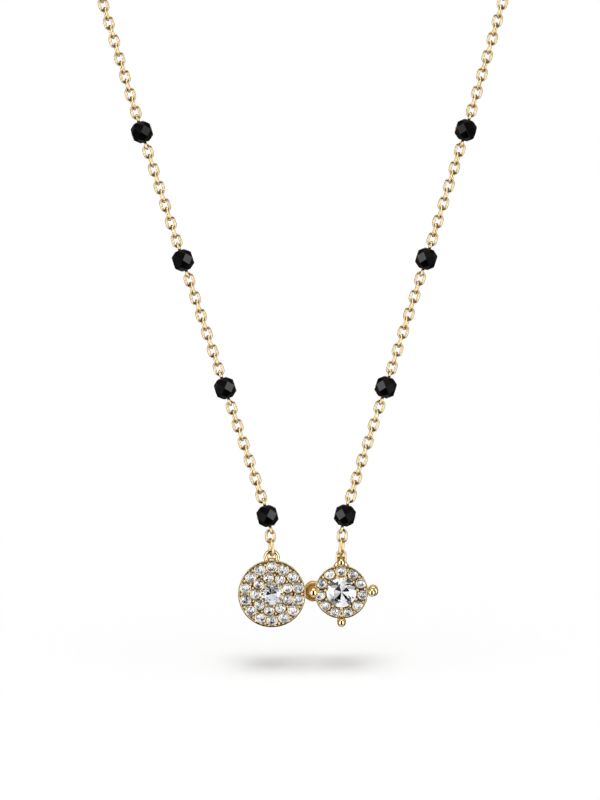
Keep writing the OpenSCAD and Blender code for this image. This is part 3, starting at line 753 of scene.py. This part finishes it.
def set_plate(cells, reach, seats, ground, back, rim_path):
    """Round plate with a seat and a hole for each stone. Front and back are heights over
    one grid on a disc. A seat is a cone that falls by SEAT_FALL for each unit inwards
    from its edge, ringed by a low lip, and the ground dips by GROOVE_DEPTH between the
    lips. Cells inside a hole are left out, and its wall joins front and back."""
    points = round_grid(cells, reach)
    free = np.ones(points.shape[:2], bool)
    free[[0, -1], :] = free[:, [0, -1]] = False
    cell = 2 * reach / cells * CELL_SHARE
    for centre, seat_r, hole_r, _ in seats:
        snap(points, free, centre, seat_r, SNAP_SHARE * cell)
        snap(points, free, centre, hole_r, SNAP_SHARE * cell)
    radius = np.linalg.norm(points, axis=-1)
    middle = (points[:-1, :-1] + points[1:, :-1] + points[1:, 1:] + points[:-1, 1:]) / 4
    nearest = np.full(radius.shape, reach)
    keep = np.ones((cells, cells), bool)
    for centre, seat_r, hole_r, _ in seats:
        distance = np.linalg.norm(points - centre, axis=-1)
        nearest = np.minimum(nearest, np.abs(distance - seat_r))
        keep &= np.linalg.norm(middle - centre, axis=-1) > hole_r
    level = ground(radius)
    top = level - GROOVE_DEPTH * (step_up(nearest, *LIP_RANGE) * step_up(reach - radius, 0.0, GROOVE_END))
    bottom = np.full(radius.shape, float(back))
    for centre, seat_r, hole_r, shoulder in seats:
        distance = np.linalg.norm(points - centre, axis=-1)
        cone = shoulder - np.maximum(seat_r - distance, 0) * SEAT_FALL
        top = np.where(distance < seat_r - 0.004, np.maximum(cone, back + PLATE_LEAST), top)
        bottom = np.where(distance < hole_r + HOLE_BEVEL, back + HOLE_BEVEL + hole_r - distance, bottom)
    # Painted shade in the grooves: the share of a groove's depth below the ground darkens the gold.
    painted_shade = np.clip((level - 0.02 - top) / GROOVE_DEPTH, 0, 1)
    flat = points.reshape(-1, 2)
    total = len(flat)
    plate = np.vstack([np.column_stack([flat, top.ravel()]), np.column_stack([flat, bottom.ravel()])])
    index = np.arange(total).reshape(cells + 1, cells + 1)
    a, b = index[:-1, :-1][keep], index[1:, :-1][keep]
    c, d = index[1:, 1:][keep], index[:-1, 1:][keep]
    faces = [np.stack([a, b, c, d], -1), np.stack([d, c, b, a], -1) + total]
    faces += hole_walls(index, keep, total)
    rim, rim_faces = lathe(rim_path, 4 * cells)
    turn = -np.pi / 4
    x = rim[:, 0] * np.cos(turn) - rim[:, 1] * np.sin(turn)
    y = rim[:, 0] * np.sin(turn) + rim[:, 1] * np.cos(turn)
    painted_shade = np.concatenate([painted_shade.ravel(), np.zeros(total)])
    return [(plate, np.concatenate(faces), painted_shade), (np.column_stack([x, y, rim[:, 2]]), rim_faces)]


def rim_profile(r, reach, floor_z, rim, back):
    """From the floor over the polished rim, down the side and round the back edge to the back plate. The
    side draws in towards the back by SIDE_DRAFT t^2, where t goes from 0 at the front to 1 at the back."""
    soft, turn = 0.05, 2 * EDGE_ROUND
    inner = r - RIM_WIDTH + soft
    path = [(reach, floor_z)]
    path += arc(inner, rim - soft, soft, 180, 90, 3)
    path += arc(r - soft, rim - soft, soft, 90, 0, 4)
    t = np.linspace(0.1, 1, 9)
    path += list(zip(r - SIDE_DRAFT * t * t, rim - 0.1 + (back + turn - rim + 0.1) * t))
    path += arc(r - SIDE_DRAFT - turn, back + turn, turn, 0, -90, 7)[1:]
    path += [(reach, back)]
    return path


def seat_list(stones, hole_r):
    """Seats of a ring of stones. Each has its middle, the stone's radius and gap, its hole's radius, and the
    height at its edge, which is below the stone's widest line by a share of the stone's size."""
    places, size, level, _ = stones
    return [(p, size / 2 + STONE_GAP, hole_r, level - GIRDLE_SINK - SEAT_DROP * size) for p in places]


def make_disc(name, r, heights, cells, seats, ground, at):
    """One disc of the pendant, from its radius, the heights of its floor, rim and back, and its seats."""
    floor_z, rim, back = heights
    reach = r - RIM_WIDTH - RIM_STEP / 2
    shells = set_plate(cells, reach, seats, ground, back, rim_profile(r, reach, floor_z, rim, back))
    setting_piece(name, [(shell, at) for shell in shells], setting_gold, sharp=38)


def make_discs():
    """Both discs. The left one's ground is its floor, a step up to the terrace and a step up to the collar,
    and the right one's is its floor and a step up to the collar."""

    def collar(radius, edge):
        """Rise of the gold round a centre stone, over a narrow slope outside its edge."""
        return COLLAR_RISE * step_up(-radius, -edge - COLLAR_SLOPE, -edge)

    def left_ground(radius):
        terrace = step_up(-radius, -TERRACE_R - TERRACE_SLOPE, -TERRACE_R + TERRACE_SLOPE)
        return LEFT_FLOOR + TERRACE_RISE * terrace + collar(radius, LEFT_COLLAR_R)

    def right_ground(radius):
        return RIGHT_FLOOR + collar(radius, RIGHT_COLLAR_R)

    left_seats = seat_list(OUTER_STONES, SMALL_HOLE_R) + seat_list(INNER_STONES, SMALL_HOLE_R)
    left_seats += seat_list(LEFT_CENTRE, CENTRE_HOLE_R)
    right_seats = seat_list(HALO_STONES, SMALL_HOLE_R) + seat_list(RIGHT_CENTRE, CENTRE_HOLE_R)
    make_disc("pave_disc", LEFT_R, (LEFT_FLOOR, LEFT_RIM, LEFT_BACK), LEFT_CELLS, left_seats, left_ground,
              LEFT_AT)
    make_disc("halo_disc", RIGHT_R, (RIGHT_FLOOR, RIGHT_RIM, RIGHT_BACK), RIGHT_CELLS, right_seats,
              right_ground, RIGHT_AT)


def make_collets():
    """A rounded collar of gold round each small stone, whose inner edge is bent a little over the stone's
    rim. Its profile goes up inside, over an arc and down outside."""
    parts = []
    for (places, size, level, at), width in (
            (OUTER_STONES, COLLET_WIDTH), (INNER_STONES, INNER_COLLET_WIDTH), (HALO_STONES, COLLET_WIDTH)):
        inner, count = size / 2 + 0.01, len(places)
        path = [(inner, level - 0.12), (inner - 0.015, level - 0.01), (inner + 0.01, level + 0.035)]
        path += arc(inner + width / 2, level + 0.01, width / 2, 130, 10, 5)
        path.append((inner + width, level - 0.22))
        turns = spun(count, np.zeros(count), COLLET_TILT)
        parts.append((repeat(lathe(path, 40), (turns, at_height(places, 0))), at))
    setting_piece("stone_collets", parts, pale_gold, sharp=60, weld=False)


def grains(places, z, radius):
    """Beads of gold raised beside the stones: balls with
    a little chance in their sizes, places and heights."""
    count = len(places)
    size = radius * rng.normal(1, GRAIN_SPREAD, count)
    turns = np.eye(3)[None] * size[:, None, None]
    centres = at_height(places + rng.normal(0, GRAIN_STRAY, (count, 2)), z)
    centres[:, 2] += rng.normal(0, GRAIN_STRAY, count)
    return repeat(ball(1, 14, 9), (turns, centres))


def make_grains():
    """Rings of grains, each with its count, radius, share of a step past the top, height and grain size,
    then two larger grains at the foot of the halo."""
    between, inner_between = 0.5, INNER_SHARE + 0.5
    rings = (
        (LEFT_OUTER_COUNT, LEFT_R - RIM_WIDTH - 0.23, between, LEFT_FLOOR + 0.03, 0.16, LEFT_AT),
        (LEFT_OUTER_COUNT, TERRACE_R + 0.2, between, LEFT_FLOOR + 0.06, 0.145, LEFT_AT),
        (LEFT_INNER_COUNT, LEFT_INNER_RING + 0.34, inner_between, LEFT_TERRACE + 0.03, 0.13, LEFT_AT),
        (LEFT_INNER_COUNT, LEFT_CENTRE_D / 2 + 0.16, inner_between, LEFT_COLLAR + 0.07, 0.14, LEFT_AT),
        (HALO_COUNT, RIGHT_R - RIM_WIDTH - 0.17, between, RIGHT_FLOOR + 0.04, 0.16, RIGHT_AT),
        (HALO_COUNT, RIGHT_CENTRE_D / 2 + 0.16, between, RIGHT_COLLAR + 0.07, 0.16, RIGHT_AT),
    )
    parts = []
    for count, radius, share, z, size, at in rings:
        parts.append((grains(ring_places(count, radius, share), z, size), at))
    parts.append((grains(np.array(SOUTH_GRAINS), RIGHT_FLOOR + 0.08, SOUTH_GRAIN_R), RIGHT_AT))
    setting_piece("setting_grains", parts, plain_gold, sharp=180)


def bar(path, radius, sides=10):
    """Tapered wire laid over the setting: along a smooth path, each section is r (side cos q + Z sin q), and
    r falls to nothing at both ends as (1 - |2t - 1|^6)^(1/2)."""
    path = np.asarray(path, float)
    t = np.linspace(0, 1, 21)
    at = np.arange(len(path)) / (len(path) - 1)
    line = np.stack([np.interp(t, at, path[:, k]) for k in range(3)], -1)
    for _ in range(3):
        line[1:-1] = (line[:-2] + 2 * line[1:-1] + line[2:]) / 4
    way = unit(np.gradient(line, axis=0))
    side = unit(np.cross(way, [0, 0, 1]))
    lift = np.cross(side, way)
    r = radius * np.sqrt(np.clip(1 - np.abs(2 * t - 1) ** 6, 1e-4, 1))[:, None, None]
    q = even_turns(sides)
    section = np.cos(q)[None, :, None] * side[:, None] + np.sin(q)[None, :, None] * lift[:, None]
    points = np.concatenate([line[:1], (line[:, None] + r * section).reshape(-1, 3), line[-1:]])
    body = grid_faces(len(t), sides) + 1
    ring = np.arange(sides)
    after = (ring + 1) % sides
    last = 1 + (len(t) - 1) * sides
    caps = [np.stack([np.zeros(sides, int), ring + 1, after + 1], -1),
            np.stack([np.full(sides, last + sides), last + after, last + ring], -1)]
    return points, np.concatenate([body[:, [0, 1, 2]], body[:, [0, 2, 3]]] + caps)


def make_arms():
    """Two thin arms that meet over the centre stone and hold the halo's top stone between them."""
    arms = [bar([(side * x, y, z) for x, y, z in ARM_PATH], ARM_R) for side in (-1, 1)]
    setting_piece("top_stone_arms", [(arm, RIGHT_AT) for arm in arms], plain_gold, sharp=180)


def post(radius, back, front, soft, columns=36):
    """Round post whose front edge is well rounded and whose back edge is softened."""
    edge = 0.08
    path = [(0, front)] + arc(radius - soft, front - soft, soft, 90, 0, 6)
    path += arc(radius - edge, back + edge, edge, 0, -90, 3) + [(0, back)]
    return lathe(path, columns)


def loop_shoulder(out):
    """Shoulder between the disc and the loop. A section is a rounded oblong, x =
    width sign(cos q) |cos q|^0.6 and z = depth sign(sin q) |sin q|^0.6. Its width
    narrows from SHOULDER_HALF to the loop's, and its depth is less over the disc."""
    sides, corner, taper, thin, start = 24, 0.6, 1.05, 0.4, 0.8 * RIGHT_R
    t = np.linspace(0, 1, 9)[:, None]
    width = SHOULDER_HALF + (LOOP_WIDTH / 2 - SHOULDER_HALF) * (1 - (1 - t) ** taper)
    y = start + (out - LOOP_WIRE / 3 - start) * t
    q = even_turns(sides)
    across, deep = (np.sign(wave) * np.abs(wave) ** corner for wave in (np.cos(q), np.sin(q)))
    x = width * across
    z = np.where(y < RIGHT_R - 0.08, thin, 1.0) * (0.98 * NORTH_R) * deep
    rows = np.stack([x, np.broadcast_to(y, x.shape), z], -1).reshape(-1, 3)
    low, high = ([[0, at, 0]] * sides for at in (y[0, 0], y[-1, 0]))
    return np.vstack([low, rows, high]), grid_faces(len(t) + 2, sides)


def make_posts():
    """The east, south and north posts with their balls, and
    the shoulder at the north one that holds the loop."""
    out = RIGHT_R + POST_REACH
    parts = []
    for x, y, radius, back, lean in (
            (out, 0, EAST_R, RIGHT_BACK, EAST_LEAN), (0, -out, SOUTH_R, RIGHT_BACK, 0),
            (0, out, NORTH_R, -NORTH_R, 0)):
        at = RIGHT_AT + np.array([x, y, 0])
        parts.append((post(radius, back, POST_FRONT, 0.6 * radius), at + np.array([lean, 0, 0])))
        parts.append((ball(BALL_R, 40, 26), at + np.array([0, 0, BALL_Z])))
    parts.append((loop_shoulder(out), RIGHT_AT))
    setting_piece("ball_posts", parts, plain_gold, sharp=40)


def make_hangers():
    """Bail of the left disc, a ring of thick wire that is half as deep again at its foot, and the small oval
    loop above the halo. An ellipsoid of gold fills the foot of each."""
    across = 2 * BAIL_R + BAIL_WIRE
    ring, faces = oval(across, across, FULL_BAIL_WIRE, 24, 20)
    ring[:, 2] *= 1 + 0.5 * step_up(-ring[:, 1], 0.0, BAIL_R)
    parts = [((ring, faces), (-HANG[0], -BAIL_R, 0)), (ellipsoid(BAIL_FOOT), BAIL_FOOT_AT)]
    setting_piece("bail", parts, plain_gold, sharp=180)
    length = LOOP_REACH + LOOP_WIRE
    loop = oval(length, LOOP_WIDTH, LOOP_WIRE, 16, 14)
    parts = [(loop, (HANG[0], (LOOP_WIRE - length) / 2, 0)), (ellipsoid(LOOP_FOOT), LOOP_FOOT_AT)]
    setting_piece("halo_loop", parts, plain_gold, sharp=180)


def make_boss():
    """Dished boss that joins the discs, and the west post and ball in it. The dish's floor rises to its lip
    as BOSS_DISH t^2, the lip and the back edge are arcs, and the part inside the halo's disc is kept low."""
    x = LEFT_R - HANG[0] + BOSS_R - BOSS_BITE
    back, front = RIGHT_BACK + EDGE_ROUND, RIGHT_FLOOR - 2 * EDGE_ROUND
    lip = BOSS_R - EDGE_ROUND
    dish_r, soft = lip - BOSS_SLOPE, 0.06
    path = [(0, front - BOSS_DISH), (dish_r - 0.05, front - BOSS_DISH)]
    path += [(dish_r + 0.3 * t, front - BOSS_DISH * (1 - t * t)) for t in (0.1, 0.3, 0.5, 0.7, 0.85, 0.95)]
    path += arc(lip - soft, front - soft, soft, 110, 90, 2)
    path += arc(lip, front - EDGE_ROUND, EDGE_ROUND, 90, 0, 5)
    path += arc(lip, back + EDGE_ROUND, EDGE_ROUND, 0, -90, 4) + [(0, back)]
    at = np.array([x, RIGHT_AT[1], 0])
    dish, faces = lathe(path, 72)
    inside = np.hypot(dish[:, 0] + x - RIGHT_AT[0], dish[:, 1]) < RIGHT_R - 0.1
    dish[:, 2] = np.where(inside, np.minimum(dish[:, 2], BOSS_LOW), dish[:, 2])
    setting_piece("joining_boss", [((dish, faces), at)], satin_gold, sharp=40)
    parts = [(post(0.6 * BALL_R, back, POST_FRONT, 0.1), at)]
    parts.append((ball(WEST_BALL_R, 44, 28), at + np.array([0, 0, BALL_Z - WEST_BALL_R + BALL_R])))
    setting_piece("west_ball", parts, plain_gold, sharp=40)


def brilliant_front(girdle_points, table):
    """Front of a round brilliant of radius 1, with its girdle at z = 0. Bezel plane k holds the table's
    corner and the girdle at angle 45 k, so z = crown (1 - (r cos - table) / (1 - table)) on it. The star
    corners are on it at 0.77 of the radius, and the girdle waves up and down between the mains."""
    crown, girdle, star_r, rise = 0.30, 0.035, 0.77, 0.02
    n = girdle_points
    eighth, angles = np.arange(8) * np.pi / 4, even_turns(n)

    def ring(radius, turn, z):
        """Points of a circle at their angles and heights."""
        height = np.broadcast_to(z, turn.shape)
        return np.column_stack([radius * np.cos(turn), radius * np.sin(turn), height])

    star_z = girdle + crown * (1 - (star_r * np.cos(np.pi / 8) - table) / (1 - table))
    wave = np.sin(np.mod(angles, np.pi / 4) * 4) ** 2 * rise
    points = np.vstack([
        ring(table, eighth, girdle + crown),
        ring(star_r, eighth + np.pi / 8, star_z),
        ring(1.0, angles, girdle - wave),
        ring(1.0, angles, -girdle + wave),
        [[0, 0, girdle + crown]],
    ])
    star, upper, lower, middle = 8, 16, 16 + n, 16 + 2 * n
    k, j = np.arange(8), np.arange(n)
    nxt, prv, main = (k + 1) % 8, (k - 1) % 8, upper + k * n // 8
    after, owner = (j + 1) % n, (j * 8) // n
    faces = [
        np.column_stack([np.full(8, middle), k, nxt]),
        np.column_stack([k, star + k, nxt]),
        np.column_stack([k, main, star + k]),
        np.column_stack([k, star + prv, main]),
        np.column_stack([star + owner, upper + j, upper + after]),
        np.column_stack([upper + j, lower + j, lower + after]),
        np.column_stack([upper + j, lower + after, upper + after]),
    ]
    return points, np.concatenate(faces)


def back_facets(radii, around):
    """Back of a stone of radius 1: rings of flat facets
    that narrow to the culet, z = -0.03 - 0.9 (1 - r)."""
    angle = even_turns(around)
    rings = [np.stack([r * np.cos(angle), r * np.sin(angle), np.full(around, -0.03 - 0.9 * (1 - r))], -1)
             for r in radii]
    return np.concatenate(rings), grid_faces(len(radii), around)[:, ::-1]


def wedge_tones(middles, size, wedges):
    """Painted reflection tone of each back facet from where it lies on its stone: 1 less the
    depth of each painted dark wedge that holds it. A wedge has a middle angle and a
    half width in degrees, a depth, and its reach in shares of the radius."""
    angle = np.degrees(np.arctan2(middles[:, 1], middles[:, 0]))
    radius = np.linalg.norm(middles[:, :2], axis=1) / (size / 2)
    tone = np.ones(len(middles))
    for at, half, depth, low, high in wedges:
        off = np.abs((angle - at + 180) % 360 - 180)
        tone -= np.where((off < half) & (radius >= low) & (radius < high), depth, 0)
    return np.clip(tone, 0, 1)


def small_tones(count):
    """Painted reflection tones of the small stones' back facets: a light middle, a ring of mixed greys and a
    light edge.
    """
    middle = rng.choice([1.0, 0.8, 0.3], (count, 8), p=[0.5, 0.3, 0.2])
    ring = rng.choice([0.0, 0.3, 0.55, 0.9], (count, 8), p=[0.28, 0.28, 0.22, 0.22])
    edge = rng.choice([0.3, 0.65, 0.95], (count, 8), p=[0.25, 0.35, 0.4])
    return np.concatenate([middle, ring, edge], 1).ravel()


def make_stones():
    """Each stone is a clear front over back facets that glow with painted reflections, made at radius 1 and
    sized for its seat. The two large ones have the painted dark wedges that a tilted brilliant reflects."""
    for name, node, (places, size, level, at) in (
            ("outer_diamonds", "left_outer_stones", OUTER_STONES),
            ("inner_diamonds", "left_inner_stones", INNER_STONES),
            ("halo_diamonds", "right_halo_stones", HALO_STONES),
            ("left_diamond", "left_centre_stone", LEFT_CENTRE),
            ("right_diamond", "right_centre_stone", RIGHT_CENTRE)):
        count = len(places)
        large = count == 1
        girdle_points, table, tilt, radii, around = LARGE_CUT if large else SMALL_CUT
        spots = at_height(places, level - GIRDLE_SINK)
        turn = np.array([np.pi / 8]) if large else rng.uniform(0, np.pi / 4, count)
        tipped = spun(count, turn, tilt) * size / 2
        crown = repeat(brilliant_front(girdle_points, table), (tipped, spots))
        piece(name, [hung(crown, at)], clear, "pendant", [node], sharp=0, weld=False)
        upright = spun(count, turn * 0 if large else turn) * size / 2
        cone = repeat(back_facets(radii, around), (upright, spots))
        made = piece(f"{name}_facets", [hung(cone, at)], glowing_facets, "pendant", [node], sharp=0,
                     weld=False)
        if large:
            tone = wedge_tones(cone[0][cone[1]].mean(1), size, DARK_WEDGES[name])
            tone = tone * rng.uniform(*LARGE_TONES, len(tone))
        else:
            tone = small_tones(count)
        # Painted reflection tone of each back facet.
        mark_faces(made, "facet", tone)


def lamp(name, kind, at, aim, power, size=(0, 0)):
    """A light that the camera doesn't see, at a place in millimetres and turned to its aim."""
    made = bpy.data.lights.new(name, kind)
    made.energy = power
    if kind == "AREA":
        made.shape = "ELLIPSE"
        made.size, made.size_y = size[0] * MM, size[1] * MM
    stand = bpy.data.objects.new(name, made)
    bpy.context.scene.collection.objects.link(stand)
    spot, target = Vector(at) * MM, Vector(aim) * MM
    stand.location = spot
    stand.rotation_euler = (target - spot).to_track_quat("-Z", "Y").to_euler()
    stand.visible_camera = False
    return stand


def soft_box(name, azimuth, elevation, distance, size, glow, tone):
    """Oval softbox that faces the pendant from an azimuth, 0 at the front and growing to the right, and an
    elevation. Its power is pi times its area times the brightness that a mirror shows."""
    a, e = math.radians(azimuth), math.radians(elevation)
    way = np.array([math.sin(a) * math.cos(e), -math.cos(a) * math.cos(e), math.sin(e)])
    power = math.pi * (math.pi / 4 * size[0] * size[1]) * MM * MM * glow
    box = lamp(name, "AREA", PENDANT + distance * way, PENDANT, power, size)
    box.data.color = tone
    box.visible_diffuse = False


def make_floor():
    """White paper floor. The camera sees it with the part's soft
    shadow on it, and the gold and the stones don't reflect it."""
    reach = FLOOR_REACH * MM
    corners = [(-reach, -reach), (reach, -reach), (reach, reach), (-reach, reach)]
    mesh = bpy.data.meshes.new("paper_floor")
    mesh.from_pydata([(x, y, FLOOR_Z * MM) for x, y in corners], [], [(0, 1, 2, 3)])
    floor = bpy.data.objects.new("paper_floor", mesh)
    bpy.context.scene.collection.objects.link(floor)
    paper = {"Base Color": (0.9, 0.9, 0.9, 1), "Specular IOR Level": 0.0, "Emission Color": (1, 1, 1, 1),
             "Emission Strength": FLOOR_GLOW}
    mesh.materials.append(material("white_paper", paper, lambda shade, at: {
        "Roughness": shade.spread(shade.noise(at, scale=300.0), 0.3, 0.7, 0.85, 0.95)}))
    floor.visible_glossy = False
    floor.visible_transmission = False
    floor.visible_shadow = False


def make_suns():
    """Two wide suns overhead, one leaned to the front and one to the back. They light the floor and make the
    soft shadow, and don't show in the gold."""
    for name, tilt in (("overhead_front", -OVERHEAD_TILT), ("overhead_back", OVERHEAD_TILT)):
        lean = OVERHEAD_RISE * math.tan(math.radians(tilt))
        sky = lamp(name, "SUN", PENDANT + np.array([0, lean, OVERHEAD_RISE]), PENDANT, OVERHEAD)
        sky.data.angle = math.radians(OVERHEAD_SPREAD)
        sky.visible_glossy = False
        sky.visible_transmission = False


def make_room():
    """Dim room. Its brightness by direction is ROOM_MID, with more towards straight up and straight down,
    and none in a slot at the front that widens upwards and downwards."""
    world = bpy.data.worlds.new("room")
    bpy.context.scene.world = world
    world.use_nodes = True
    shade = Shade(world.node_tree)
    towards = shade.node("ShaderNodeTexCoord", output="Generated")
    across, away, height = (shade.node("ShaderNodeSeparateXYZ", {}, {0: towards}, k) for k in range(3))
    narrow = shade.spread(across * across - 0.6 * height * height, 0.23, 0.17)
    slot = narrow * shade.spread(away, -0.1, -0.3) * shade.spread(height * height, 0.8, 0.65)
    ends = ROOM_TOP * shade.spread(height, 0.76, 0.93) + ROOM_LOW * shade.spread(height, -0.65, -0.88)
    glow = ROOM_MID + ends - ROOM_MID * slot
    room = shade.node("ShaderNodeBackground", {}, {"Color": (1, 1, 1, 1), "Strength": glow})
    shade.node("ShaderNodeOutputWorld", {}, {"Surface": room})


def make_studio():
    """Paper floor, overhead suns, the soft boxes and cards
    that only the part's own surfaces reflect, and the room."""
    make_floor()
    make_suns()
    for name, settings in SOFT_BOXES.items():
        soft_box(name, *settings)
    make_room()


def make_camera():
    """Long lens that looks at the pendant from the front, a little above it."""
    rise = math.radians(VIEW_RISE)
    lens = bpy.data.cameras.new("photo_view")
    lens.sensor_fit = "VERTICAL"
    lens.sensor_height = SENSOR_HEIGHT
    lens.lens = SENSOR_HEIGHT * VIEW_FROM / FRAME_HEIGHT
    lens.clip_start, lens.clip_end = 0.05, 20
    up = np.array([0, math.sin(rise), math.cos(rise)])
    back = np.array([0, -math.cos(rise), math.sin(rise)])
    aim = HANG * np.array([0, 1, 1]) + AIM_UP * up + np.array([AIM_RIGHT, 0, 0])
    camera = bpy.data.objects.new("photo_view", lens)
    bpy.context.scene.collection.objects.link(camera)
    camera.matrix_world = (
        Matrix.Translation(Vector(aim + VIEW_FROM * back) * MM)
        @ Matrix.Rotation(math.radians(90 - VIEW_RISE), 4, "X")
        @ Matrix.Rotation(math.radians(VIEW_ROLL), 4, "Z")
    )
    bpy.context.scene.camera = camera


make_camera()
make_studio()
make_chain()
make_beads()
make_end_rings()
make_clasp()
make_discs()
make_collets()
make_grains()
make_arms()
make_posts()
make_hangers()
make_boss()
make_stones()

view = bpy.context.scene.view_settings
view.view_transform = "Standard"
view.look = "None"
